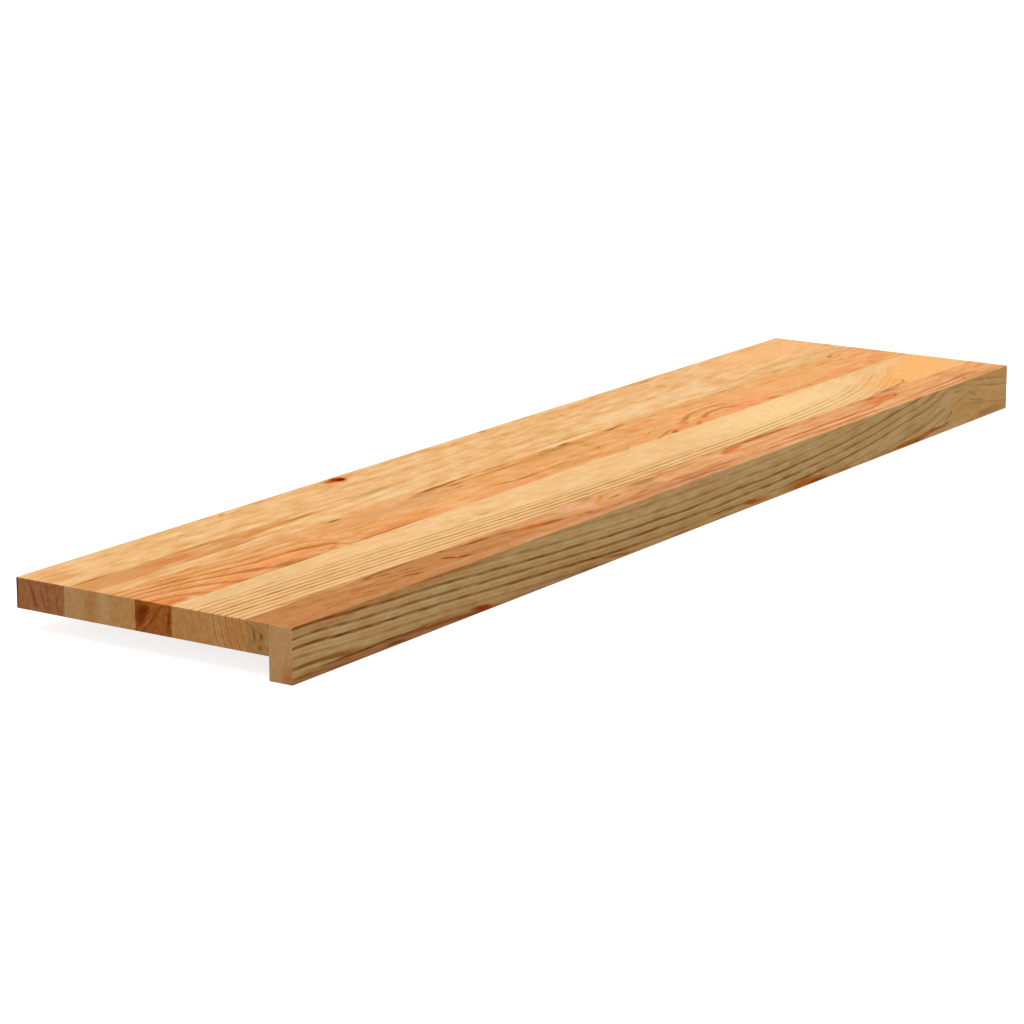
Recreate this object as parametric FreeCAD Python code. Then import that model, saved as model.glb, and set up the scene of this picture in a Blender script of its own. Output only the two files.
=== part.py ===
# Solid wood stair tread that covers an old step: a panel of full-length staves glued edge to edge, with a
# deeper nosing strip glued along its front edge. The section is an L lying on its back.
#
# Frame: X runs along the nosing, -Y points to the front of the step, Z points up. The origin is the middle
# of the bounding box's underside, level with the foot of the nosing strip.
import FreeCAD, Part
import itertools
import os

# Driving dimensions, in millimetres
LENGTH = 1000.0
TREAD_DEPTH = 225.0         # front face of the nosing strip to the back edge
BOARD_THICKNESS = 21.0      # of the staves
NOSING_HEIGHT = 37.0        # of the strip, from its foot to the walking surface
NOSING_THICKNESS = 18.0     # of the strip, front to back
FRONT_STAVE_WIDTH = 17.0    # the stave that was trimmed to take the nosing strip
STAVE_WIDTHS = (30.0, 30.0, 30.0, 21.0, 38.0, 41.0)  # the others, front to back, and again if more fit
ARRIS_RADIUS = 0.6          # every outer edge is eased with sandpaper
SAW_MARGIN = 5.0            # how far a cutting slab reaches past the tread

# Places that follow from them
FRONT_Y = -TREAD_DEPTH / 2
BACK_Y = TREAD_DEPTH / 2
GLUE_LINE_Y = FRONT_Y + NOSING_THICKNESS
UNDERSIDE_Z = NOSING_HEIGHT - BOARD_THICKNESS


def section():
    """The tread's L-shaped section, standing at the left end."""
    outline = (
        (FRONT_Y, 0.0),
        (GLUE_LINE_Y, 0.0),
        (GLUE_LINE_Y, UNDERSIDE_Z),
        (BACK_Y, UNDERSIDE_Z),
        (BACK_Y, NOSING_HEIGHT),
        (FRONT_Y, NOSING_HEIGHT),
    )
    corners = [FreeCAD.Vector(-LENGTH / 2, y, z) for y, z in outline]
    return Part.Face(Part.makePolygon(corners + corners[:1]))


def is_inner_corner(edge):
    """True for the corner line where the panel's underside meets the back of the nosing strip."""
    middle = edge.CenterOfMass
    on_glue_line = abs(middle.y - GLUE_LINE_Y) < ARRIS_RADIUS / 2
    on_underside = abs(middle.z - UNDERSIDE_Z) < ARRIS_RADIUS / 2
    return on_glue_line and on_underside


def eased_tread():
    """The whole tread as it leaves the sander: every outer edge rounded over, the inner corner sharp."""
    blank = section().extrude(FreeCAD.Vector(LENGTH, 0, 0))
    outer_edges = [edge for edge in blank.Edges if not is_inner_corner(edge)]
    return blank.makeFillet(ARRIS_RADIUS, outer_edges)


def joint_lines():
    """Y of the staves' sides, from the nosing strip's glue line back. The panel is sawn off at its back edge."""
    lines = [GLUE_LINE_Y]
    widths = itertools.chain((FRONT_STAVE_WIDTH,), itertools.cycle(STAVE_WIDTHS))
    while lines[-1] < BACK_Y:
        lines.append(min(lines[-1] + next(widths), BACK_Y))
    return lines


def cut_between(tread, front, back):
    """The piece of the tread between two upright cuts along its length."""
    corner = FreeCAD.Vector(-LENGTH / 2 - SAW_MARGIN, front, -SAW_MARGIN)
    slab = Part.makeBox(LENGTH + 2 * SAW_MARGIN, back - front, NOSING_HEIGHT + 2 * SAW_MARGIN, corner)
    return tread.common(slab).Solids[0]


def pieces():
    """Every separate piece of wood, by its name."""
    tread = eased_tread()
    lines = joint_lines()
    made = {"nosing_strip": cut_between(tread, FRONT_Y - SAW_MARGIN, GLUE_LINE_Y)}
    outer_lines = lines[:-1] + [BACK_Y + SAW_MARGIN]
    for number, (front, back) in enumerate(zip(outer_lines, outer_lines[1:]), start=1):
        made[f"stave_{number}"] = cut_between(tread, front, back)
    return made


os.makedirs("parts", exist_ok=True)
for name, solid in pieces().items():
    solid.exportStep(f"parts/{name}.step")
    print(f"{name}: {solid.Volume / 1000:.2f} cm3, valid {solid.isValid()}, {len(solid.Faces)} faces")
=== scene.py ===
"""Looks for a solid oak cover tread: full-length staves glued edge to edge, and a deeper nosing strip."""

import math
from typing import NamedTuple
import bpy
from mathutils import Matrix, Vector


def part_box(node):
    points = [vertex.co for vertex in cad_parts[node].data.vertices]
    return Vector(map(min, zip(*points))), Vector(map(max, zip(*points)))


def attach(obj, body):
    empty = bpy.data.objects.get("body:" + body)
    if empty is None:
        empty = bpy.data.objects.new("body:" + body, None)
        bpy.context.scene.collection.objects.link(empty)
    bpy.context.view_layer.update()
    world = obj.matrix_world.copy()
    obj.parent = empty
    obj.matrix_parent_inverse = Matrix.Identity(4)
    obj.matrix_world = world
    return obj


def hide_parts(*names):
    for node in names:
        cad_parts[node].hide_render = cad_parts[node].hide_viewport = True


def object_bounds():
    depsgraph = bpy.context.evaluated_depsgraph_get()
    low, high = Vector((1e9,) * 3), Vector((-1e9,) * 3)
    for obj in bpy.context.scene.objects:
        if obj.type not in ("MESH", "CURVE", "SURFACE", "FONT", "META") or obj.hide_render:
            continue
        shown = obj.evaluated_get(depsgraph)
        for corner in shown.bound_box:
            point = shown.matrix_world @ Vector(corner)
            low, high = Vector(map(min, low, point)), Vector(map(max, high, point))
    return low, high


bl_info = {
    "name": "Solid Oak Stair Tread",
    "version": (1, 0, 0),
    "blender": (4, 5, 0),
    "location": "3D View > Sidebar > Stair Tread",
    "description": "Dresses a glued-up stair tread in sawn and sanded oak, stave by stave",
    "category": "Add Mesh",
}

import bmesh
import bpy
from bpy.props import FloatProperty, FloatVectorProperty, PointerProperty
from mathutils import Matrix, Vector

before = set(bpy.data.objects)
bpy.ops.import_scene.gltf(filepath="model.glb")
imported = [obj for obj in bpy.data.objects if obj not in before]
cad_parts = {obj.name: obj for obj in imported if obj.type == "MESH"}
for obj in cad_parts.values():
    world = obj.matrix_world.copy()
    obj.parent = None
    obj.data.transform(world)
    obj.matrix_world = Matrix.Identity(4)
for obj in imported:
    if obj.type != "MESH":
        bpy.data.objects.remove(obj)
CAD_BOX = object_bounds()

MM = 0.001
LOW, HIGH = CAD_BOX
LENGTH_MM = (HIGH.x - LOW.x) / MM
DEPTH_MM = (HIGH.y - LOW.y) / MM
HEIGHT_MM = (HIGH.z - LOW.z) / MM
STAVES = sorted(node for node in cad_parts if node.startswith("stave_"))
NOSING = "nosing_strip"


def linear(hex_colour):
    """An sRGB hex value as the linear RGBA that a shader socket takes."""
    channels = [int(hex_colour[i:i + 2], 16) / 255 for i in (0, 2, 4)]
    return [c / 12.92 if c <= 0.04045 else ((c + 0.055) / 1.055) ** 2.4 for c in channels] + [1.0]


class Mark(NamedTuple):
    """A patch of its own colour: a streak, a knot, a dark line in the wood, and in a few places painted shade
    and painted highlights. In millimetres on the face where it shows: x and d on the top, x and h on the nosing's
    front, d and h on the left end. x runs from the left end, d from the back edge and h down from the walking surface."""
    along: float
    across: float
    long: float             # half its length
    wide: float             # half its width
    colour: str
    cover: float            # how strongly it covers the wood, 0 to 1
    turn: float = 0.0       # degrees, from the first direction towards the second
    core: float = 0.15      # the share of the patch that has the full colour
    deep: float = 3.0       # half its depth into the wood
    rim: float = 0.0        # above 0, only the patch's outline shows, this share of its half size thick
    under: bool = False     # under the ring lines, not over them


# The back board: a brown tongue at the left end, a knot at the back edge, and paler towards the right end, partly the
# wood's own tone and partly painted light that brightens the right end
BACK_MARKS = (
    Mark(25, 57, 100, 13, "DA985C", 0.9, core=0.55, deep=8),
    Mark(92, 56, 52, 10, "DC8C50", 0.85, 5, core=0.3, deep=8),
    Mark(97, 59, 16, 4, "DE8040", 0.7, 14),
    Mark(120, 66.5, 78, 4.5, "DC9558", 0.8),
    Mark(40, 72, 90, 5, "E6A468", 0.6, 2),
    Mark(125, 49, 92, 3, "D08C4A", 0.85, 1),
    Mark(150, 61, 58, 5.5, "DA9456", 0.85, -6, core=0.3),
    Mark(150, 73, 44, 3, "DE9E64", 0.65),
    Mark(192, 50, 34, 3, "D8924E", 0.8),
    Mark(230, 54, 40, 3.2, "D08844", 0.75),
    Mark(165, 53, 55, 3.4, "D48C48", 0.8),
    Mark(130, 66, 70, 3.4, "DA9258", 0.7),
    Mark(22, 46.5, 36, 2.4, "AC7030", 0.85),
    Mark(130, 47, 55, 2.2, "B67834", 0.75, 1),
    Mark(200, 56, 56, 5, "DC9048", 0.8),
    Mark(182, 57, 22, 2, "C07C3A", 0.65),
    Mark(234, 55.5, 24, 2.2, "B07230", 0.8),
    Mark(40, 66.5, 9, 2.4, "D08A38", 0.65),
    Mark(150, 67, 18, 2.2, "CC8642", 0.65),
    Mark(147, 19, 8, 3, "CE9450", 0.65),
    Mark(76, 12.5, 7, 2, "C88A48", 0.6),
    Mark(207, 6, 10, 3.2, "E09040", 0.7, -30),
    Mark(19, 9, 10, 3, "F2A64C", 0.55),
    Mark(85, 5, 9, 2.4, "E89A50", 0.55),
    Mark(337, 9, 22, 12, "F0A466", 0.7, deep=30),
    Mark(331, 7, 10, 6, "C4601E", 0.95, deep=30),
    Mark(340, 8, 10, 8, "A03A0A", 1.0, deep=30, core=0.45),
    Mark(342, 9.5, 5.5, 4, "641004", 1.0, deep=30),
    Mark(322, 51.5, 44, 6, "CE9E60", 0.85),
    Mark(300, 8, 30, 9, "E8AA66", 0.55),
    Mark(240, 67, 26, 3.4, "F6CE98", 0.6),
    Mark(365, 62, 60, 6, "F2C68C", 0.5, -5),
    Mark(630, 14, 75, 11, "ECAA6A", 0.55),
    Mark(738, 21, 26, 4, "EEA468", 0.6),
    Mark(655, 57, 85, 14, "F9D09A", 0.75, -4, core=0.3),
    Mark(770, 54, 42, 20, "F9D09C", 0.6, -6),
    Mark(720, 72, 100, 5, "F8D094", 0.65),
    Mark(730, 57, 34, 13, "F9D09C", 0.6),
    Mark(910, 66, 70, 7, "F8CE96", 0.5, -5),
    Mark(322, 70, 50, 6, "F6D49C", 0.6),
    Mark(534, 3.5, 9, 3, "B47A30", 0.85),
    Mark(536, 22, 10, 3, "DA9E5C", 0.6),
    Mark(612, 8, 14, 3.5, "EEA45C", 0.5),
    Mark(619, 22, 6, 3, "EA8C54", 0.65, -35),
    Mark(560, 37, 62, 6, "EBAC6A", 0.5),
    Mark(550, 71, 62, 2.6, "CA9858", 0.7),
    Mark(555, 76, 72, 1.8, "FFDCA8", 0.85),
    Mark(626, 68, 11, 4.5, "E2BE76", 0.7),
    Mark(768, 6.5, 18, 3.4, "CC8E4C", 0.7),
    Mark(752, 19.5, 11, 2, "E0A05C", 0.55),
    Mark(785, 56, 8, 4, "F8B070", 0.55),
    Mark(770, 69, 14, 4, "FFDCA6", 0.7),
    Mark(795, 69, 14, 2.2, "D49C58", 0.6),
    Mark(866, 60, 10, 2.5, "D6A266", 0.6),
    Mark(930, 61, 45, 5, "DFAE70", 0.55),
    # Partly painted light: paler wood at the right end that also stands in for the stronger light there
    Mark(940, 28, 150, 36, "FDBE84", 0.8, core=0.2, deep=30),
)
# The orange board: dark dashes along its back joint, deeper orange along its front joint, a bow of lines
ORANGE_MARKS = (
    Mark(300, 94, 120, 14, "DFA66E", 0.75, under=True),
    Mark(490, 90, 95, 11, "D99C5C", 0.7, under=True),
    Mark(800, 106, 240, 28, "F8B676", 0.55, under=True),
    Mark(110, 114, 90, 14, "FDA666", 0.8, under=True),
    Mark(2, 118, 34, 10, "EA8A4C", 0.75, under=True),
    Mark(160, 126, 30, 4, "F4A464", 0.6),
    Mark(237, 81, 15, 2.2, "7A460E", 0.9),
    Mark(356, 82.2, 38, 3.4, "98571C", 0.9, -2),
    Mark(380, 80.5, 13, 2, "92501A", 0.85),
    Mark(398, 80.5, 15, 1.8, "AE7438", 0.75),
    Mark(376, 88, 15, 2.4, "A4642A", 0.85),
    Mark(370, 94.5, 11, 1.6, "C2763C", 0.7),
    Mark(335, 86.5, 30, 3.2, "C08850", 0.75),
    Mark(435, 87.5, 75, 3.4, "C2864C", 0.75),
    Mark(440, 81, 40, 2.4, "BE8442", 0.75),
    Mark(515, 84.5, 46, 5, "C88848", 0.8, -3),
    Mark(504, 80.5, 12, 1.8, "A87034", 0.8),
    Mark(531, 80.5, 12, 2.6, "96581F", 0.9),
    Mark(541, 87, 15, 3.5, "C68846", 0.7),
    Mark(595, 81.5, 13, 2.4, "8A541C", 0.9),
    Mark(610, 80, 14, 1.8, "7E4C14", 0.9),
    Mark(658, 81.5, 12, 2.2, "BC804C", 0.8),
    Mark(770, 79.2, 18, 2.4, "AA7230", 0.85),
    Mark(953, 80, 13, 2.4, "9C6624", 0.9, -15),
    Mark(983, 86, 11, 4.5, "F8A24E", 0.6),
    Mark(172, 85, 70, 7, "E2AE70", 0.6, deep=6, under=True),
    Mark(8, 125, 24, 4, "DE7440", 0.8, deep=6),
    Mark(60, 126, 40, 5, "F08C50", 0.6, 3, deep=6),
    Mark(72, 127.5, 17, 2, "CE6E30", 0.8, 6),
    Mark(174, 113.5, 15, 1.8, "BC7434", 0.6, 20),
    Mark(186, 119, 6, 3.4, "BC7030", 0.7, 55),
    Mark(178, 124.5, 12, 1.8, "CC8040", 0.6, -16),
    Mark(230, 107, 42, 2.2, "D08C4C", 0.6, 6),
    Mark(240, 125.5, 70, 5, "E4904E", 0.75),
    Mark(235, 128.8, 62, 2.2, "B05E2A", 0.8),
    Mark(287, 117, 24, 6, "E09848", 0.6),
    Mark(300, 124, 36, 4, "F6985C", 0.6),
    Mark(400, 114.5, 18, 2.6, "C27E42", 0.75, 10),
    Mark(425, 117.2, 28, 3, "BC7434", 0.8, -1),
    Mark(466, 115.5, 34, 2.6, "C8844A", 0.65, -3),
    Mark(406, 125, 28, 5, "F2956A", 0.65),
    Mark(492, 121, 52, 8, "DA924E", 0.7),
    Mark(540, 95, 13, 8, "D2984A", 0.7, -25),
    Mark(537, 108, 8, 2, "BC783C", 0.75, -25),
    Mark(546, 128, 9, 1.8, "B07838", 0.75, -10),
    Mark(593, 128.5, 11, 2, "DE7A48", 0.75, -10),
    Mark(712, 121, 70, 9, "F8A066", 0.7, deep=6, under=True),
    Mark(700, 127.5, 57, 25.5, "C87A3A", 0.7, deep=6, rim=0.12),
    Mark(704, 126.5, 34, 14.5, "BC6830", 0.8, deep=6, rim=0.2),
    Mark(757, 118, 40, 12, "F6AA6E", 1.0, 12, core=0.6),
    Mark(740, 105, 28, 6, "F2AC6E", 0.85, 14, core=0.3),
    Mark(730, 121, 14, 8, "F6A268", 0.95, core=0.5),
    Mark(751, 128, 28, 3.4, "F6A468", 0.95, core=0.6),
    Mark(664, 110, 16, 2.4, "BC6C2C", 0.7, -24),
    Mark(640, 126, 14, 9, "F2A468", 0.9, core=0.4),
    Mark(672, 125, 15, 8, "F6A264", 0.95, core=0.5),
    Mark(724, 107.5, 22, 1.8, "CC7C44", 0.6, 20),
    Mark(749, 118.5, 12, 2, "D87C3C", 0.7, 24),
    Mark(726, 117, 12, 2, "C87440", 0.6, 14),
    Mark(592, 102, 44, 2, "D8944E", 0.5, -16),
    Mark(604, 113, 34, 2, "D48C48", 0.5, -20),
    Mark(608, 124.5, 30, 2, "C87038", 0.75, -14),
    Mark(619, 126.5, 11, 3.4, "CC602C", 0.85, -24, core=0.3),
    Mark(636, 121, 20, 5.5, "FA9662", 0.75, -20),
    Mark(655, 126.5, 13, 3, "CE742E", 0.8, -24),
    Mark(773, 125.5, 20, 2.8, "C66A30", 0.8, 6),
    Mark(835, 126, 6, 3, "B4683A", 0.75, -10),
    Mark(868, 121, 16, 2, "DA7E3E", 0.6),
    Mark(915, 126, 15, 2, "CA7C46", 0.65),
    Mark(915, 115, 60, 5, "F8A060", 0.55),
    Mark(870, 124, 120, 6, "EC9A5E", 0.55),
    Mark(952, 119, 17, 3, "EC8854", 0.65),
    Mark(918, 91, 17, 3.5, "DC9646", 0.6),
    Mark(944, 95, 7, 1.8, "C08248", 0.7, -15),
)
# The cream board: its lines end in plain orange wood at the right
CREAM_MARKS = (
    Mark(45, 136.5, 130, 7, "E6C088", 0.8, under=True),
    Mark(0, 176, 150, 19, "F8BE84", 0.6, under=True),
    Mark(230, 176, 170, 19, "FCCC8C", 0.6, under=True),
    Mark(740, 150, 190, 38, "FFD89C", 0.75, under=True),
    Mark(720, 178, 190, 17, "FFD698", 0.75, under=True),
    Mark(66, 188.5, 52, 2.2, "B8793F", 0.9),
    Mark(140, 189.6, 50, 1.2, "9A5C24", 0.8),
    Mark(640, 189, 70, 1.6, "B46A34", 0.85),
    Mark(312, 156, 11, 1.8, "BE8A44", 0.7),
    Mark(290, 156, 12, 1.6, "D4A262", 0.55),
    Mark(962, 164, 92, 38, "FEBB74", 0.95, -15, core=0.35, deep=20),
    Mark(876, 172, 56, 24, "FFB262", 0.45, deep=20),
    Mark(886, 176, 48, 20, "FBB66E", 0.65, -14, core=0.1, deep=20, under=True),
    Mark(925, 152, 26, 4, "EFA65C", 0.55, -24),
    Mark(850, 188.6, 26, 2.8, "A8641E", 0.85, -2),
    Mark(876, 186.6, 20, 2.4, "C07E38", 0.8, -5),
    Mark(890, 183, 12, 2.2, "C4843C", 0.75, -32),
)
# The front stave and the nosing's top: brown at the left, partly the wood's own colour and partly painted shade of the
# light falling off towards the left end; red streaks, long lines at the right
BROWN_MARKS = (
    # Partly painted shade: the wood's brown here also stands in for the light falling off towards the left end
    Mark(40, 208, 380, 34, "C3824C", 0.88, core=0.5, deep=10, under=True),
    Mark(110, 198.5, 56, 3, "D09A68", 0.65, 6),
    Mark(190, 217, 70, 3.4, "D29E6C", 0.65, 2),
    Mark(50, 205, 56, 2.6, "CC9462", 0.6, 4),
    Mark(235, 206, 44, 3, "CE9464", 0.6, 6),
    Mark(60, 199, 56, 1.8, "A86E3A", 0.65, 2),
    Mark(150, 205, 44, 1.8, "9E6430", 0.65, 9),
    Mark(80, 216, 60, 1.8, "AC7242", 0.6, 1),
    Mark(265, 213, 50, 2, "AE7240", 0.6, 3),
    Mark(430, 218, 220, 12, "C88656", 0.8, deep=10, under=True),
    Mark(780, 200, 240, 14, "EEA874", 0.5, deep=10, under=True),
    Mark(244, 196.2, 56, 2.4, "9E602C", 0.75, 4),
    Mark(305, 205, 52, 2.6, "A86028", 0.75, 8),
    Mark(110, 207.5, 44, 2, "A46630", 0.65, 9),
    Mark(622, 191, 80, 2, "AC5220", 0.95, core=0.35),
    Mark(850, 190.8, 24, 2.2, "AC682A", 0.8, -2),
    Mark(890, 198, 44, 8, "FAB670", 0.6),
    # Partly painted highlight: pale pink lines between the nosing's ring lines, which also stand in for the bright line
    # along the lit front top edge
    Mark(760, 215.6, 150, 1.6, "FCB684", 0.7),
    Mark(690, 208, 80, 1.6, "F8B680", 0.5),
    Mark(145, 190.4, 56, 2, "86500F", 0.85),
    Mark(30, 190.2, 70, 1.6, "96602C", 0.7),
    Mark(230, 190.2, 60, 1.4, "AC7438", 0.5),
    Mark(123, 193, 9, 2.5, "AE5020", 0.85),
    Mark(136, 196.5, 10, 2, "92501F", 0.8, 14),
    Mark(158, 200, 20, 1.6, "A4662F", 0.65, 4),
    Mark(110, 204, 10, 1.6, "9C5C28", 0.65),
    Mark(38, 196, 9, 1.8, "AC6832", 0.55),
    Mark(88, 209, 6, 2, "CC6440", 0.7),
    Mark(96, 212.5, 9, 1.8, "9A5628", 0.75, 22),
    Mark(149, 211, 14, 2.2, "864418", 0.9, 16),
    Mark(197, 206, 10, 3, "8A4414", 0.95, 40, core=0.3),
    Mark(208, 211.8, 12, 2.4, "864414", 0.95, 8, core=0.3),
    Mark(208, 192, 11, 2, "9A5A2A", 0.8, 14),
    Mark(244, 195.5, 22, 2.2, "8E521E", 0.85, 1),
    Mark(276, 199, 16, 2, "A0622C", 0.75, 10),
    Mark(300, 204.5, 20, 5, "CE6628", 0.9, 8, core=0.3),
    Mark(320, 208.4, 20, 4, "AC581E", 0.85, 6),
    Mark(362, 200, 34, 7, "F0B48A", 0.7, 4),
    Mark(345, 214.5, 10, 2, "A8602A", 0.7),
    Mark(357, 214, 7, 3, "A0602C", 0.75),
    Mark(395, 218, 60, 2, "B06C3A", 0.75, 1),
    Mark(338, 196, 11, 3.4, "B4884A", 0.6, 22),
    Mark(388, 191.3, 17, 2, "AC622E", 0.85, 2),
    Mark(362, 194, 22, 3, "F4B890", 0.8),
    Mark(391, 201, 17, 4.6, "E0984A", 0.85, -28),
    Mark(400, 196.5, 8, 2.8, "CC7E30", 0.85, -24),
    Mark(410, 203.5, 11, 2.2, "AC702E", 0.8),
    Mark(431, 212, 13, 2, "A26032", 0.8),
    Mark(456, 196.5, 26, 6.5, "B07C48", 0.85, core=0.25),
    Mark(455, 207, 24, 6, "BE8A56", 0.7),
    Mark(489, 212, 44, 2.2, "B4683A", 0.8),
    Mark(489, 219, 56, 2.4, "AC6238", 0.8),
    Mark(561, 190.4, 11, 2, "AE5C2C", 0.85),
    Mark(582, 196.5, 20, 5.5, "DC7840", 0.85, -8, core=0.25),
    Mark(574, 196.5, 10, 3, "D46630", 0.7, -12),
    Mark(590, 203, 12, 5, "E8984E", 0.8, 40),
    Mark(598, 194.5, 10, 2.2, "B4662E", 0.8),
    Mark(645, 192, 50, 1.8, "BE6A30", 0.75),
    Mark(668, 192, 22, 3, "BE5A20", 0.85),
    Mark(720, 192, 13, 2.4, "AC763E", 0.75),
    Mark(535, 215, 60, 2, "B4643A", 0.8),
    Mark(517, 220.4, 24, 1.6, "AC6236", 0.7),
    Mark(625, 217.6, 80, 1.8, "B86A3C", 0.8),
    Mark(690, 211.2, 120, 2.6, "C47440", 0.85),
    Mark(735, 211.5, 34, 2.2, "C4622C", 0.8),
    Mark(730, 219.8, 125, 2.6, "BE7646", 0.85),
    Mark(762, 198, 36, 8, "E0AC72", 0.65),
    Mark(812, 200, 44, 9.5, "E48850", 0.9, -6, core=0.25),
    Mark(781, 192.5, 13, 2.4, "D27A4A", 0.75),
    Mark(800, 191.8, 15, 2.2, "B87038", 0.7),
    Mark(812, 194, 18, 3.2, "C4602A", 0.85, -8),
    Mark(828, 200, 15, 2.4, "C66C2C", 0.8, -4),
    Mark(837, 203, 13, 3.2, "C0683A", 0.8, -20),
    Mark(808, 205.5, 30, 2.4, "D47C40", 0.75, -3),
    Mark(822, 206.5, 15, 2, "CA7236", 0.7),
    Mark(790, 210.5, 34, 2.2, "BE6634", 0.85, -5),
    Mark(890, 215, 100, 2.4, "C07A4A", 0.85, -2),
    Mark(932, 212, 32, 2, "BC7846", 0.75, -5),
    Mark(910, 221, 90, 1.8, "B8704A", 0.75),
    Mark(931, 219, 9, 3, "DA764C", 0.75, -20),
    Mark(910, 206, 12, 2.4, "D08A56", 0.6),
    Mark(965, 200.5, 9, 2.6, "DE8862", 0.6, -15),
    Mark(985, 196, 70, 12, "F4B070", 0.6),
)
FRONT_MARKS = (
    Mark(100, 36, 150, 6, "A86842", 0.95, core=0.7, under=True),
    Mark(300, 35.5, 110, 4.5, "B88A6C", 0.7, core=0.4, under=True),
    Mark(200, 34, 600, 12, "C49058", 0.45, under=True),
    Mark(60, 12, 120, 16, "DAA872", 0.3, under=True),
    Mark(300, 4, 170, 4, "CCAE76", 0.55, under=True),
    Mark(520, 31.5, 170, 2.2, "C89E64", 0.85, core=0.3),
    Mark(105, 31, 120, 0.8, "7A4416", 0.85),
    Mark(110, 34.8, 16, 1.8, "6A340E", 0.85, 2),
    Mark(60, 31.4, 60, 1, "7A4418", 0.8),
    Mark(165, 34, 40, 2, "9A5226", 0.75, 1),
    Mark(208, 33.8, 19, 2.8, "A0441A", 0.95, 6, core=0.3),
    Mark(38, 27, 50, 1.8, "9A6222", 0.8, 2.5),
    Mark(60, 3.8, 6, 1.2, "A8503A", 0.7),
    Mark(50, 15.8, 14, 1, "5A2E0C", 0.85, 2.5, core=0.3),
    Mark(106, 18.2, 12, 1, "5E300E", 0.8, 2.5, core=0.3),
    Mark(378, 33.6, 32, 1.6, "A05A22", 0.85, 5),
    Mark(463, 35.5, 20, 2.2, "A05A2C", 0.6),
    Mark(525, 31.4, 40, 0.9, "6E4416", 0.8),
    Mark(566, 32.6, 18, 2.6, "B4541F", 0.9, 5, core=0.3),
    Mark(584, 34, 24, 3.4, "C8763C", 0.8),
    Mark(655, 34, 48, 4, "BC7028", 0.95, core=0.4),
    Mark(668, 35.2, 26, 1.8, "944E18", 0.85),
    Mark(712, 35.2, 20, 2.8, "BC7638", 0.8),
    Mark(822, 34.2, 56, 3, "B66C26", 0.95, -2, core=0.3),
    Mark(836, 35.4, 26, 1.4, "8C4614", 0.8, -2),
    Mark(858, 32.4, 30, 2.4, "C0622C", 0.9, -3),
    Mark(872, 31.2, 26, 1.1, "804A1C", 0.8, 2),
    Mark(965, 19, 86, 34, "D0A062", 0.9, core=0.6),
    Mark(890, 25.6, 8, 1.2, "6E4A1C", 0.75, -25),
    Mark(888, 30, 11, 1.1, "78541C", 0.75, -4),
    Mark(896.5, 22.5, 2.6, 2.2, "6A461A", 0.8),
    Mark(858, 21, 38, 1.1, "96703A", 0.5, -11),
    Mark(866, 15, 26, 1.1, "96703A", 0.5, -16),
    Mark(842, 26.5, 40, 1.1, "96703A", 0.45, -9),
    Mark(905, 2.5, 24, 1, "9E7440", 0.6),
    Mark(906, 6.8, 14, 1, "9A7040", 0.6),
    Mark(914, 14, 20, 1.8, "A67C44", 0.5, -14),
    Mark(936, 13.5, 14, 1.8, "A27840", 0.5, 24),
    Mark(947, 20.6, 20, 1.5, "A27038", 0.5, 12),
    Mark(968, 5.2, 64, 1.3, "A07040", 0.5, 7),
    Mark(970, 11.5, 60, 1.3, "A07040", 0.5, 8),
    Mark(966, 25.5, 64, 1.3, "A07040", 0.45, 7),
    Mark(972, 8.2, 60, 1.2, "E0B07A", 0.55, 7),
    Mark(974, 14.2, 60, 1.2, "E0B07A", 0.55, 8),
    Mark(935, 18.2, 14, 1.5, "A27038", 0.45, 14),
    Mark(970, 33, 40, 4, "A8764C", 0.45),
)
END_MARKS = (
    # Painted shade: a dark line down the back arris of the left end, standing in for the shade on that rounded edge
    Mark(0.6, 10, 1.4, 60, "4E2A0C", 0.85, core=0.6),
    Mark(5, 10, 5, 60, "A87040", 0.6),
    Mark(14.5, 10, 15, 1.5, "7C441C", 0.85, 71),
    Mark(22.5, 10, 16, 1.2, "84502A", 0.7, 78),
    Mark(27, 10, 15, 1.2, "84502A", 0.65, 80),
    Mark(34.5, 10, 16, 1.3, "885228", 0.65, 82),
    Mark(63, 10, 8, 34, "C08044", 0.75),
    Mark(74.5, 10, 5, 40, "CCA272", 0.7),
    Mark(64, 15, 5, 4, "B88C4C", 0.5),
    Mark(105, 10, 8, 16, "803A0C", 0.75, core=0.3),
    Mark(107, 7, 9, 4, "702A00", 0.7, -35),
    Mark(121, 10, 8, 12, "AE6C30", 0.5),
    Mark(103.5, 18.5, 5, 2.4, "A0641C", 0.7),
    Mark(127.5, 10, 12, 2, "7C3404", 0.8, 94),
    Mark(115, 9, 9, 1.4, "8A420E", 0.6, 118),
    Mark(109, 14.5, 13, 2, "C07436", 0.55, -38),
    Mark(118, 6.5, 15, 1.3, "7E3A0A", 0.6, -50),
    Mark(114, 12.5, 12, 1.2, "8A4412", 0.55, -44),
    Mark(134.5, 10, 15, 1.3, "AE7A42", 0.5, 84),
    Mark(141, 10, 16, 1.3, "B07C44", 0.5, 80),
    Mark(147.5, 11, 9, 2.6, "B47E3E", 0.45, 84),
    Mark(181, 10, 15, 24, "C47A3E", 0.5),
    Mark(195.5, 9, 8, 1.6, "6E5614", 0.7, 78),
    Mark(201, 9, 5, 2, "6E4E12", 0.75, 66),
    Mark(200, 16.5, 3.4, 2.6, "8A4A1C", 0.7),
    Mark(205, 8, 2.4, 16, "C09A60", 0.6),
    Mark(222.5, 32.5, 9, 13, "BE7636", 0.85, core=0.1),
)


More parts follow.
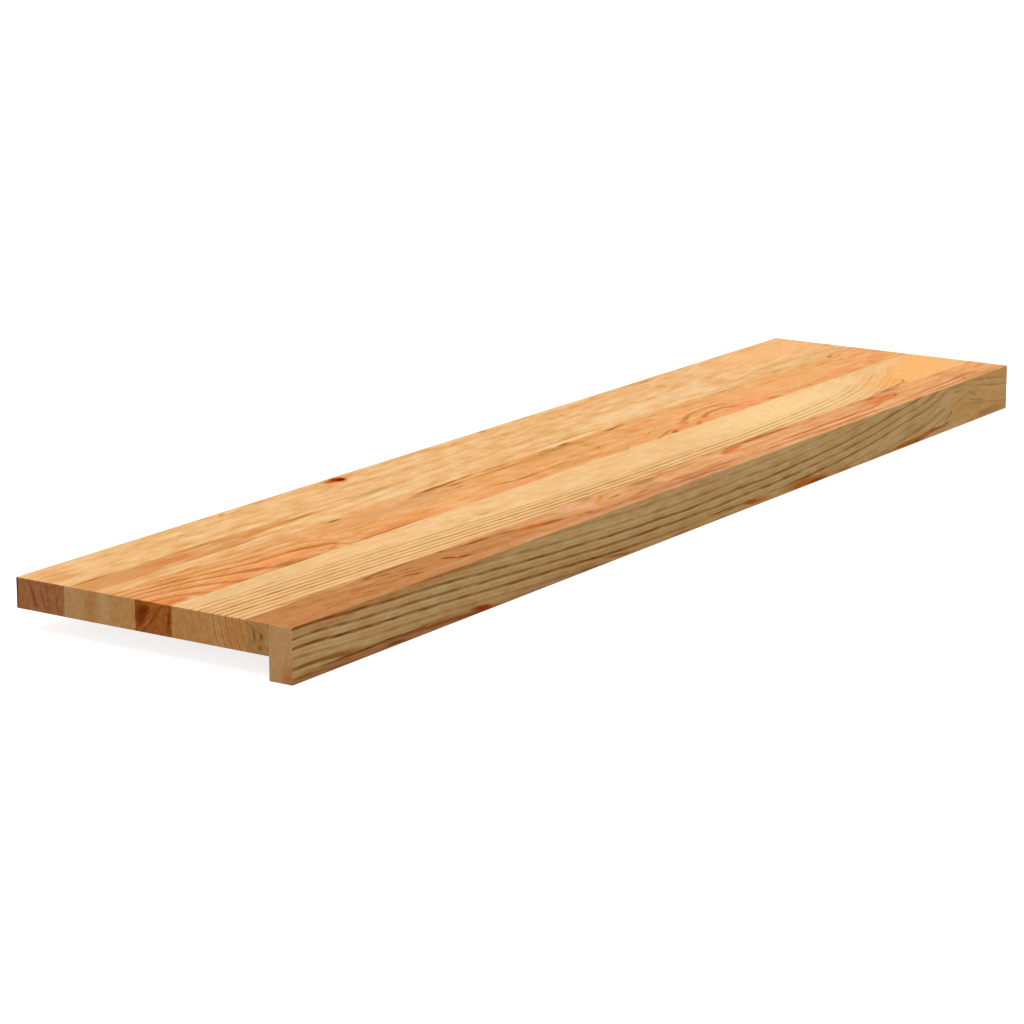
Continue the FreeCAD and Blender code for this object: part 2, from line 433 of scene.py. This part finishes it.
# How each piece of wood looks. Three colours for the ground from pale to deep, one for the dark lines of the
# year rings and their share of the ring, and two colours for the end grain. The tree's centre (pith) is given
# as d and h. Drift, show and behind are lists of x and value: how far the rings have drifted forwards (down on
# the nosing), how strong they are, and the d behind which there are none. Strong gives some rings a strength
# of their own, by their number from the first ring outwards.
PLAIN = {
    "pale": "F6CC92", "wood": "EFBF85", "deep": "E3A868", "ring": "C98F52", "line": 0.14, "between": 0.0,
    "end": "C4935A", "end_deep": "9A6C3C", "end_show": 0.6,
    "pith": (-80.0, 35.0), "spacing": 4.0, "first_ring": 0.0, "drift": ((0, 0), (1000, 0)), "drift_down": False,
    "show": ((0, 0.4), (1000, 0.4)), "behind": ((0, -60), (1000, -60)), "strong": ((0, 0.7), (40, 0.7)),
    "seed": 0.0, "front": None, "marks": BACK_MARKS,
}
BACK_BOARD = {
    **PLAIN, "pale": "FCD098", "wood": "F3BE82", "deep": "E4A664", "ring": "C08648",
    "drift": ((0, 0), (250, 2), (400, -6), (600, -14), (800, -26), (1000, -40)), "show": ((0, 0.35), (1000, 0.3)),
}
ORANGE_BOARD = {
    **PLAIN, "pale": "F8BC80", "wood": "F0AC6C", "deep": "E39A5A", "ring": "AC5A16", "line": 0.18,
    "pith": (131.0, 35.0), "spacing": 5.3, "first_ring": 1.8, "seed": 20.0, "drift_down": True, "between": 0.35,
    "drift": ((0, 0), (10, 0.8), (25, 2.8), (45, 5.6), (65, 8.7), (85, 11.5), (105, 13.4), (120, 14.6), (145, 15),
              (160, 16), (175, 17.2), (187, 18.8), (191, 20.4), (200, 24), (260, 30), (1000, 32)),
    "show": ((0, 0.8), (140, 0.75), (175, 0.75), (190, 0.35), (215, 0.15), (1000, 0.1)),
    "strong": ((6, 0.6), (7, 0.7), (8, 0.85), (9, 1.0), (10, 1.0), (11, 0.6), (12, 0.5), (13, 0.3)),
    "marks": ORANGE_MARKS,
}
CREAM_BOARD = {
    **PLAIN, "pale": "FACE94", "wood": "F3C489", "deep": "EBB97C", "ring": "A4621A", "line": 0.17,
    "pith": (262.0, -14.0), "spacing": 5.4, "first_ring": 61.7, "between": 0.4, "seed": 40.0,
    "drift": ((0, -1), (50, 0.6), (125, 3.6), (170, 5), (210, 6.9), (250, 9), (330, 12.6), (370, 14.1), (410, 14.7),
              (450, 15.1), (500, 15.2), (570, 14), (610, 14.1), (650, 13.5), (690, 11.6), (730, 9.5), (770, 6.3),
              (800, 2.8), (830, -2), (850, -6.8), (870, -12.3), (890, -19.8), (910, -26), (935, -31.5), (1000, -37)),
    "show": ((0, 1.0), (60, 0.95), (110, 0.9), (200, 0.8), (250, 0.9), (330, 0.9), (370, 1.0), (410, 0.95),
             (500, 0.9), (600, 0.75), (700, 0.7), (770, 0.55), (860, 0.4), (885, 0.35), (905, 0.2), (925, 0.0),
             (1000, 0.0)),
    "behind": ((0, 137), (60, 139), (250, 153), (400, 163), (500, 166), (640, 166), (740, 162), (800, 158),
               (860, 150), (900, 142), (1000, 136)),
    "strong": ((1, 1.0), (2, 1.0), (3, 0.9), (4, 0.5), (5, 1.0), (6, 0.85), (7, 1.0), (8, 0.65), (9, 0.75),
               (10, 0.5), (11, 0.4)),
    "marks": CREAM_MARKS,
}
FRONT_BOARD = {
    **PLAIN, "pale": "F4B986", "wood": "EAA970", "deep": "DA955C", "ring": "AC6834", "pith": (150.0, 90.0),
    "show": ((0, 0.3), (1000, 0.3)), "seed": 60.0, "marks": BROWN_MARKS,
}
LOOKS = {
    "stave_7": {**BACK_BOARD, "end": "B4764C", "end_deep": "8C5028", "end_show": 0.35},
    "stave_6": {**BACK_BOARD, "pith": (110.0, 120.0), "end": "CA9C66", "end_deep": "B6844E", "end_show": 0.3},
    "stave_5": {**ORANGE_BOARD, "end": "CE965A", "end_deep": "B47C48", "end_show": 0.35},
    "stave_4": {**ORANGE_BOARD, "end": "B4682C", "end_deep": "8C420E", "end_show": 0.45},
    "stave_3": {**CREAM_BOARD, "end": "CE9458", "end_deep": "B67E48", "end_show": 0.4},
    "stave_2": {**CREAM_BOARD, "end": "D8A066", "end_deep": "A4682C", "end_show": 0.7},
    "stave_1": {**FRONT_BOARD, "end": "C08E54", "end_deep": "A07438"},
    NOSING: {
        **FRONT_BOARD,
        "front": {"pale": "E2BC88", "wood": "D8AC74", "deep": "CA9E66", "ring": "7A460E", "late": "C0A46A"},
        "pith": (190.0, 120.0), "spacing": 6.25, "first_ring": 123.3, "drift_down": True, "between": 0.5, "line": 0.18,
        "drift": ((0, -0.4), (10, -0.4), (60, 2), (110, 4.4), (170, 6.6), (210, 8.6), (300, 13.1), (350, 15.4),
                  (400, 17), (500, 18), (570, 17), (600, 17.1), (650, 15.6), (700, 13), (780, 6.2), (810, 2.6), (840, -0.7),
                  (855, -3), (870, -6.6), (885, -10.6), (900, -13), (1000, -13)),
        "show": ((0, 1.0), (30, 1.0), (60, 0.9), (250, 0.9), (300, 0.95), (500, 0.95), (600, 0.9), (700, 0.75),
                 (780, 0.65), (870, 0.6), (890, 0.4), (905, 0.15), (1000, 0.1)),
        "strong": ((-8, 0.4), (-7, 0.4), (-6, 0.4), (-5, 0.5), (-4, 0.8), (-3, 0.45), (-2, 1.0), (-1, 0.85), (0, 1.0),
                   (1, 0.5), (2, 0.4), (3, 0.4)),
        "end": "CC9E6A", "end_deep": "BA8C58", "end_show": 0.15,
    },
}


class TreadWood(bpy.types.PropertyGroup):
    """Sizes and finish of the sanded oak."""
    arris: FloatProperty(
        name="Arris radius", description="Rounding that the sander leaves on every outer edge",
        default=0.6 * MM, unit="LENGTH")
    roughness: FloatProperty(
        name="Roughness", description="Sheen of the sanded, lightly oiled face", default=0.6,
        min=0, max=1, subtype="FACTOR")


class TreadStage(bpy.types.PropertyGroup):
    """The floor, the lamps and the camera."""
    camera_place: FloatVectorProperty(
        name="Camera place", description="Where the camera stands", default=(-2.1365, -1.3687, 0.6098),
        unit="LENGTH")
    camera_yaw: FloatProperty(
        name="Camera yaw", description="Viewing direction, turned from +Y towards +X",
        default=math.radians(56.255), unit="ROTATION")
    camera_pitch: FloatProperty(
        name="Camera pitch", description="How far the camera looks down", default=math.radians(13.63),
        unit="ROTATION")
    camera_lens: FloatProperty(
        name="Lens", description="Focal length on a 36 mm sensor", default=122.08, unit="CAMERA")
    floor_colour: FloatVectorProperty(
        name="Floor colour", description="The pale floor under the tread", default=(0.6, 0.6, 0.6),
        subtype="COLOR")
    sky: FloatProperty(
        name="Sky light", description="Even light from all around", default=0.4)
    key: FloatProperty(
        name="Key lamp", description="Strength of the soft lamp above the front left", default=1.95)


def add(tree, kind, *values, **settings):
    """Adds a node of a kind with its settings. Values fill its live sockets in order: a number, a colour
    or vector, another node or socket to link, or None to leave the socket as it is."""
    node = tree.nodes.new("ShaderNode" + kind)
    for name, setting in settings.items():
        setattr(node, name, setting)
    sockets = [socket for socket in node.inputs if socket.enabled]
    for socket, value in zip(sockets, values):
        if isinstance(value, bpy.types.Node):
            value = next(output for output in value.outputs if output.enabled)
        if isinstance(value, bpy.types.NodeSocket):
            tree.links.new(value, socket)
        elif value is not None:
            socket.default_value = value
    return node


def new_tree(name):
    """An empty material and its node tree."""
    material = bpy.data.materials.new(name)
    material.use_nodes = True
    material.node_tree.nodes.clear()
    return material, material.node_tree


def curve(tree, x, points):
    """A value that follows x along the piece through the given points, in the points' own units."""
    low = min(value for _, value in points)
    high = max(max(value for _, value in points), low + 1e-3)
    along = add(tree, "Math", x, LENGTH_MM, operation="DIVIDE")
    node = add(tree, "FloatCurve", 1.0, along)
    line = node.mapping.curves[0]
    shares = [(place / LENGTH_MM, (value - low) / (high - low)) for place, value in points]
    line.points[0].location, line.points[1].location = shares[0], shares[-1]
    for place, value in shares[1:-1]:
        line.points.new(place, value)
    node.mapping.update()
    return add(tree, "MapRange", node, 0.0, 1.0, low, high)


def grain_noise(tree, where, along, across, detail=2.0, seed=0.0):
    """Noise whose grains are this long along the wood and this wide across it, in millimetres."""
    stretched = add(tree, "Mapping", where, (seed, seed, seed), None, (1 / along, 1 / across, 1 / across))
    return add(tree, "TexNoise", stretched, 1.0, detail, 0.5)


def shaken(tree, where, noise, reach):
    """Places moved by a noise, up to half of reach each way."""
    centred = add(tree, "VectorMath", noise.outputs["Color"], (0.5, 0.5, 0.5), operation="SUBTRACT")
    return add(tree, "VectorMath", centred, reach, where, operation="MULTIPLY_ADD")


def ramp(tree, value, stops):
    """A value looked up on straight lines through the given places and shades."""
    node = add(tree, "ValToRGB", value)
    elements = node.color_ramp.elements
    elements[0].position, elements[1].position = stops[0][0], stops[-1][0]
    for place, _ in stops[1:-1]:
        elements.new(place)
    for element, (_, shade) in zip(elements, stops):
        element.color = (shade, shade, shade, 1)
    return node


def mix(tree, share, first, second):
    """Two colours mixed. A colour given as hex is made linear."""
    colours = [linear(colour) if isinstance(colour, str) else colour for colour in (first, second)]
    return add(tree, "Mix", share, *colours, data_type="RGBA")


def product(tree, first, *others):
    """Values multiplied together."""
    for other in others:
        first = add(tree, "Math", first, other, operation="MULTIPLY")
    return first


def drifted(tree, where, x, look):
    """The places moved back to where their ring lies at the left end."""
    drift = curve(tree, x, look["drift"])
    shift = (None, None, drift) if look["drift_down"] else (None, drift)
    return add(tree, "VectorMath", where, add(tree, "CombineXYZ", *shift), operation="SUBTRACT")


def year_rings(tree, where, moved, look):
    """The place within each year ring from 0 to 1, and how dark the ring's line is there."""
    seed = look["seed"]
    slow = grain_noise(tree, where, 90.0, 22.0, 2.0, seed)
    quick = grain_noise(tree, where, 16.0, 3.0, 2.0, seed + 7)
    waving = shaken(tree, shaken(tree, moved, slow, (0, 2.6, 2.6)), quick, (0, 0.9, 0.9))
    pith_d, pith_h = look["pith"]
    from_pith = add(tree, "Mapping", waving, (0, -pith_d, -pith_h), None, (0, 1, 1))
    radius = add(tree, "VectorMath", from_pith, operation="LENGTH").outputs["Value"]
    count = add(tree, "Math", radius, look["first_ring"], operation="SUBTRACT")
    count = add(tree, "Math", count, look["spacing"], operation="DIVIDE")
    phase = add(tree, "Math", count, operation="FRACT")
    width = look["line"]
    line = ramp(tree, phase, (
        (0.0, 1.0), (width, 1.0), (width + 0.12, 0.3), (width + 0.28, 0.1), (0.54, look["between"]), (0.66, 0.0),
        (0.88, 0.0), (1.0, 1.0)))
    strong = look["strong"]
    first, last = strong[0][0], strong[-1][0]
    own = add(tree, "MapRange", count, first, last, 0.0, 1.0)
    own = ramp(tree, own, [((number + 0.1 - first) / (last + 0.1 - first), strength) for number, strength in strong])
    breaks = add(tree, "MapRange", grain_noise(tree, where, 30.0, 3.0, 3.0, seed + 13), 0.35, 0.6, 0.6, 1.0)
    return phase, product(tree, line, own, breaks)


def ground(tree, patches, look):
    """The wood between the ring lines, from pale to deep in soft patches."""
    low = add(tree, "MapRange", patches, 0.3, 0.5, 0.0, 1.0)
    high = add(tree, "MapRange", patches, 0.5, 0.7, 0.0, 1.0)
    return mix(tree, high, mix(tree, low, look["pale"], look["wood"]), look["deep"])


def face_marks(node, look):
    """The marks that show on a piece's long faces, each with its centre, turn and half sizes as x, d and h."""
    low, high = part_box(node)
    back, front = (HIGH.y - high.y) / MM, (HIGH.y - low.y) / MM
    found = []
    for mark in look["marks"]:
        reach = math.hypot(mark.wide, mark.long * math.sin(math.radians(mark.turn))) + 2
        if back - reach < mark.across < front + reach:
            turn = (0, 0, math.radians(mark.turn))
            found.append((mark, (mark.along, mark.across, 0), turn, (mark.long, mark.wide, mark.deep)))
    for mark in FRONT_MARKS if node == NOSING else ():
        turn = (0, -math.radians(mark.turn), 0)
        found.append((mark, (mark.along, DEPTH_MM, mark.across), turn, (mark.long, mark.deep, mark.wide)))
    return found


def end_marks(node):
    """The marks that show on a piece's left end, given in the same way."""
    low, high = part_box(node)
    back, front = (HIGH.y - high.y) / MM, (HIGH.y - low.y) / MM
    found = []
    for mark in END_MARKS:
        if back <= mark.along < front:
            turn = (math.radians(mark.turn), 0, 0)
            found.append((mark, (0, mark.along, mark.across), turn, (mark.deep, mark.long, mark.wide)))
    return found


def marked(tree, colour, marks, coarse, fine):
    """The colour with marks over it. Long marks get coarsely frayed edges and small ones finely frayed edges."""
    for mark, centre, turn, sizes in marks:
        edge = coarse if mark.long > 30 else fine
        if mark.turn:
            spot = add(tree, "Mapping", edge, centre, turn, sizes, vector_type="TEXTURE")
        else:
            scale = [1 / size for size in sizes]
            shift = [-place / size for place, size in zip(centre, sizes)]
            spot = add(tree, "VectorMath", edge, scale, shift, operation="MULTIPLY_ADD")
        spot = add(tree, "VectorMath", spot, operation="LENGTH").outputs["Value"]
        reach, core = 1.0, mark.core
        if mark.rim:
            spot = add(tree, "Math", add(tree, "Math", spot, 1.0, operation="SUBTRACT"), operation="ABSOLUTE")
            reach, core = mark.rim, 0.0
        spot = add(tree, "MapRange", spot, reach, core, 0.0, mark.cover, interpolation_type="SMOOTHSTEP")
        colour = mix(tree, spot, colour, mark.colour)
    return colour


def face_ground(tree, moved, upright, phase, look):
    """The wood of the long faces without its lines. The nosing's front is paler and greener than its top."""
    patches = grain_noise(tree, moved, 34.0, 8.0, 4.0, look["seed"] + 3)
    colour = ground(tree, patches, look)
    if not look["front"]:
        return colour
    late = ramp(tree, phase, ((0.0, 0.0), (0.3, 0.0), (0.6, 0.55), (0.9, 0.55), (1.0, 0.0)))
    front = mix(tree, late, ground(tree, patches, look["front"]), look["front"]["late"])
    return mix(tree, upright, colour, front)


def lined(tree, colour, where, upright, line, look):
    """The colour of the long faces with the dark ring lines over it, where they show."""
    x = add(tree, "SeparateXYZ", where).outputs["X"]
    d = add(tree, "SeparateXYZ", where).outputs["Y"]
    show = add(tree, "Math", d, curve(tree, x, look["behind"]), operation="SUBTRACT")
    show = product(tree, line, curve(tree, x, look["show"]), add(tree, "MapRange", show, 0.0, 9.0, 0.0, 1.0))
    dark = look["ring"]
    if look["front"]:
        dark = mix(tree, upright, dark, look["front"]["ring"])
        show = product(tree, show, add(tree, "MapRange", upright, 0.0, 1.0, 0.15, 1.0))
    return mix(tree, show, colour, dark)


def end_colour(tree, where, phase, line, look):
    """The colour of the end grain, where every ring shows a dark and a fainter line, and soft blotches."""
    rings = ramp(tree, phase, (
        (0.0, 1.0), (0.16, 0.9), (0.3, 0.1), (0.48, 0.1), (0.6, 0.6), (0.68, 0.6), (0.8, 0.0), (0.94, 0.1), (1.0, 1.0)))
    rings = product(tree, add(tree, "Math", rings, line, operation="MAXIMUM"), look["end_show"])
    blotch = grain_noise(tree, where, 200.0, 6.0, 3.0, look["seed"] + 5)
    blotch = add(tree, "MapRange", blotch, 0.4, 0.7, 0.0, 0.35)
    return mix(tree, add(tree, "Math", rings, blotch, operation="MAXIMUM"), look["end"], look["end_deep"])


def solid_oak(name, node, wood):
    """Sawn and sanded oak, lightly oiled: a pale ground that darkens in broad soft patches, dark lines where
    each year's open pores begin, fine streaks along the grain, and browner end grain. The eye gets a warm,
    matt surface whose lines run round the corner from face to end."""
    look = LOOKS[node]
    seed = look["seed"]
    material, tree = new_tree(name)
    coordinates = add(tree, "TexCoord")
    where = add(
        tree, "Mapping", coordinates.outputs["Object"], (-LOW.x / MM, HIGH.y / MM, HIGH.z / MM), None,
        (1 / MM, -1 / MM, -1 / MM))
    facing = add(tree, "SeparateXYZ", coordinates.outputs["Normal"])
    moved = drifted(tree, where, add(tree, "SeparateXYZ", where).outputs["X"], look)
    phase, line = year_rings(tree, where, moved, look)
    coarse = shaken(tree, where, grain_noise(tree, where, 24.0, 4.0, 3.0, seed + 17), (20.0, 2.4, 2.4))
    fine = shaken(tree, where, grain_noise(tree, where, 9.0, 1.8, 3.0, seed + 31), (5.0, 1.2, 1.2))
    upright = add(tree, "Math", facing.outputs["Y"], operation="ABSOLUTE")
    upright = add(tree, "MapRange", upright, 0.2, 0.6, 0.0, 1.0)
    marks = face_marks(node, look)
    face = face_ground(tree, moved, upright, phase, look)
    face = marked(tree, face, [mark for mark in marks if mark[0].under], coarse, fine)
    face = lined(tree, face, where, upright, line, look)
    face = marked(tree, face, [mark for mark in marks if not mark[0].under], coarse, fine)
    sawn = end_colour(tree, where, phase, line, look)
    sawn = marked(tree, sawn, end_marks(node), fine, fine)
    end = add(tree, "Math", facing.outputs["X"], operation="ABSOLUTE")
    end = add(tree, "MapRange", end, 0.4, 0.8, 0.0, 1.0)
    colour = mix(tree, end, face, sawn)
    streaks = add(tree, "MapRange", grain_noise(tree, moved, 15.0, 3.6, 3.0, seed + 11), 0.25, 0.75, 0.86, 1.14)
    fibres = add(tree, "Math", grain_noise(tree, where, 9.0, 0.7, 2.0, seed + 19), 0.5, operation="SUBTRACT")
    fibres = add(tree, "Math", fibres, add(tree, "MapRange", end, 0.0, 1.0, 0.34, 0.12), 1.0, operation="MULTIPLY_ADD")
    colour = add(tree, "VectorMath", add(tree, "Gamma", colour, streaks), fibres, operation="SCALE")
    height = add(tree, "Math", streaks, line, operation="ADD")
    relief = add(tree, "Bump", 0.08, 0.1 * MM)
    relief.invert = True
    tree.links.new(height.outputs[0], relief.inputs["Height"])
    shader = add(tree, "BsdfPrincipled", colour, 0.0, wood.roughness)
    shader.inputs["Specular IOR Level"].default_value = 0.0
    tree.links.new(relief.outputs[0], shader.inputs["Normal"])
    add(tree, "OutputMaterial", shader)
    return material


def outer_edges(mesh, box):
    """The edges of a block that lie on the outside of the whole tread, not along a glue line."""
    low, high = box
    inner = []
    for edge in mesh.edges:
        middle = (edge.verts[0].co + edge.verts[1].co) / 2
        on_front_joint = abs(middle.y - low.y) < MM / 2 and low.y > LOW.y + MM
        on_back_joint = abs(middle.y - high.y) < MM / 2 and high.y < HIGH.y - MM
        if on_front_joint or on_back_joint:
            inner.append(edge)
    return [edge for edge in mesh.edges if edge not in inner]


def block(node, arris):
    """One stave or strip as a closed mesh with its outer edges rounded over."""
    low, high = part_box(node)
    mesh = bmesh.new()
    place = Matrix.Translation((low + high) / 2) @ Matrix.Diagonal((*(high - low), 1.0))
    bmesh.ops.create_cube(mesh, size=1.0, matrix=place)
    bmesh.ops.bevel(
        mesh, geom=outer_edges(mesh, (low, high)), offset=arris, offset_type="OFFSET", segments=4,
        profile=0.5, affect="EDGES", material=-1, clamp_overlap=True)
    for edge in mesh.edges:
        edge.smooth = edge.calc_face_angle(0) < math.radians(45)
    data = bpy.data.meshes.new(node + "_wood")
    mesh.to_mesh(data)
    mesh.free()
    piece = bpy.data.objects.new(node + "_wood", data)
    bpy.context.scene.collection.objects.link(piece)
    data.polygons.foreach_set("use_smooth", [True] * len(data.polygons))
    weighted = piece.modifiers.new("flat faces stay flat", "WEIGHTED_NORMAL")
    weighted.mode = "FACE_AREA"
    weighted.keep_sharp = True
    return piece


def dress(node, wood):
    """Makes a piece in place of its plain solid, and gives it its own wood."""
    piece = block(node, wood.arris)
    piece.data.materials.append(solid_oak(node + " sanded oak", node, wood))
    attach(piece, "root")
    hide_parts(node)
    return piece


class TREAD_OT_staves(bpy.types.Operator):
    """Makes the panel's staves"""
    bl_idname = "tread.staves"
    bl_label = "Panel Staves"

    def execute(self, context):
        for node in STAVES:
            dress(node, context.scene.tread_wood)
        return {"FINISHED"}


class TREAD_OT_nosing(bpy.types.Operator):
    """Makes the nosing strip along the panel's front edge"""
    bl_idname = "tread.nosing"
    bl_label = "Nosing Strip"

    def execute(self, context):
        dress(NOSING, context.scene.tread_wood)
        return {"FINISHED"}


def white_floor(colour):
    """Matt painted floor. The camera sees it lifted to white, and its shadows stay."""
    material, tree = new_tree("matt white floor")
    ways = add(tree, "LightPath")
    seen = add(tree, "Math", ways.outputs["Is Camera Ray"], ways.outputs["Is Glossy Ray"], operation="MAXIMUM")
    seen = add(tree, "Math", seen, ways.outputs["Is Transmission Ray"], operation="MAXIMUM")
    lift = add(tree, "Math", seen, 0.82, operation="MULTIPLY")
    paint = add(tree, "BsdfDiffuse", (*colour, 1.0))
    glow = add(tree, "Emission", (1, 1, 1, 1), lift)
    both = add(tree, "AddShader", paint, glow)
    below = add(tree, "NewGeometry").outputs["Backfacing"]
    clear = add(tree, "BsdfTransparent")
    add(tree, "OutputMaterial", add(tree, "MixShader", below, both, clear))
    return material


class TREAD_OT_stage(bpy.types.Operator):
    """Makes the floor, the soft light and the camera"""
    bl_idname = "tread.stage"
    bl_label = "Stage"

    def execute(self, context):
        stage = context.scene.tread_stage
        mesh = bmesh.new()
        bmesh.ops.create_grid(mesh, x_segments=1, y_segments=1, size=20.0)
        data = bpy.data.meshes.new("floor")
        mesh.to_mesh(data)
        mesh.free()
        floor = bpy.data.objects.new("floor", data)
        data.materials.append(white_floor(stage.floor_colour))
        context.scene.collection.objects.link(floor)

        lamp = bpy.data.lights.new("key", "SUN")
        lamp.energy = stage.key
        lamp.angle = math.radians(60)
        key = bpy.data.objects.new("key", lamp)
        key.rotation_mode = "QUATERNION"
        key.rotation_quaternion = Vector((0.2, 0.2, -0.96)).to_track_quat("-Z", "Y")
        context.scene.collection.objects.link(key)

        world = bpy.data.worlds.new("studio")
        world.use_nodes = True
        tree = world.node_tree
        tree.nodes.clear()
        ways = add(tree, "LightPath")
        seen = add(tree, "Math", ways.outputs["Is Camera Ray"], ways.outputs["Is Glossy Ray"], operation="MAXIMUM")
        strength = add(tree, "MapRange", seen, 0.0, 1.0, stage.sky, 1.0)
        add(tree, "OutputWorld", add(tree, "Background", (1, 1, 1, 1), strength))
        context.scene.world = world
        context.scene.view_settings.view_transform = "Standard"

        lens = bpy.data.cameras.new("camera")
        lens.sensor_width = 36.0
        lens.lens = stage.camera_lens
        camera = bpy.data.objects.new("camera", lens)
        camera.location = stage.camera_place
        yaw, pitch = stage.camera_yaw, stage.camera_pitch
        ahead = Vector((math.sin(yaw) * math.cos(pitch), math.cos(yaw) * math.cos(pitch), -math.sin(pitch)))
        camera.rotation_mode = "QUATERNION"
        camera.rotation_quaternion = ahead.to_track_quat("-Z", "Y")
        context.scene.collection.objects.link(camera)
        context.scene.camera = camera
        return {"FINISHED"}


class TREAD_PT_panel(bpy.types.Panel):
    """Lists the tread's steps in the sidebar"""
    bl_label = "Stair Tread"
    bl_idname = "TREAD_PT_panel"
    bl_space_type = "VIEW_3D"
    bl_region_type = "UI"
    bl_category = "Stair Tread"

    def draw(self, context):
        for step in STEPS:
            self.layout.operator(step.bl_idname)


GROUPS = (TreadWood, TreadStage)
STEPS = (TREAD_OT_staves, TREAD_OT_nosing, TREAD_OT_stage)


def register():
    for cls in (*GROUPS, *STEPS, TREAD_PT_panel):
        bpy.utils.register_class(cls)
    bpy.types.Scene.tread_wood = PointerProperty(type=TreadWood)
    bpy.types.Scene.tread_stage = PointerProperty(type=TreadStage)


def unregister():
    del bpy.types.Scene.tread_stage
    del bpy.types.Scene.tread_wood
    for cls in reversed((*GROUPS, *STEPS, TREAD_PT_panel)):
        bpy.utils.unregister_class(cls)


def main():
    register()
    bpy.ops.tread.staves()
    bpy.ops.tread.nosing()
    bpy.ops.tread.stage()


if __name__ == "__main__":
    main()
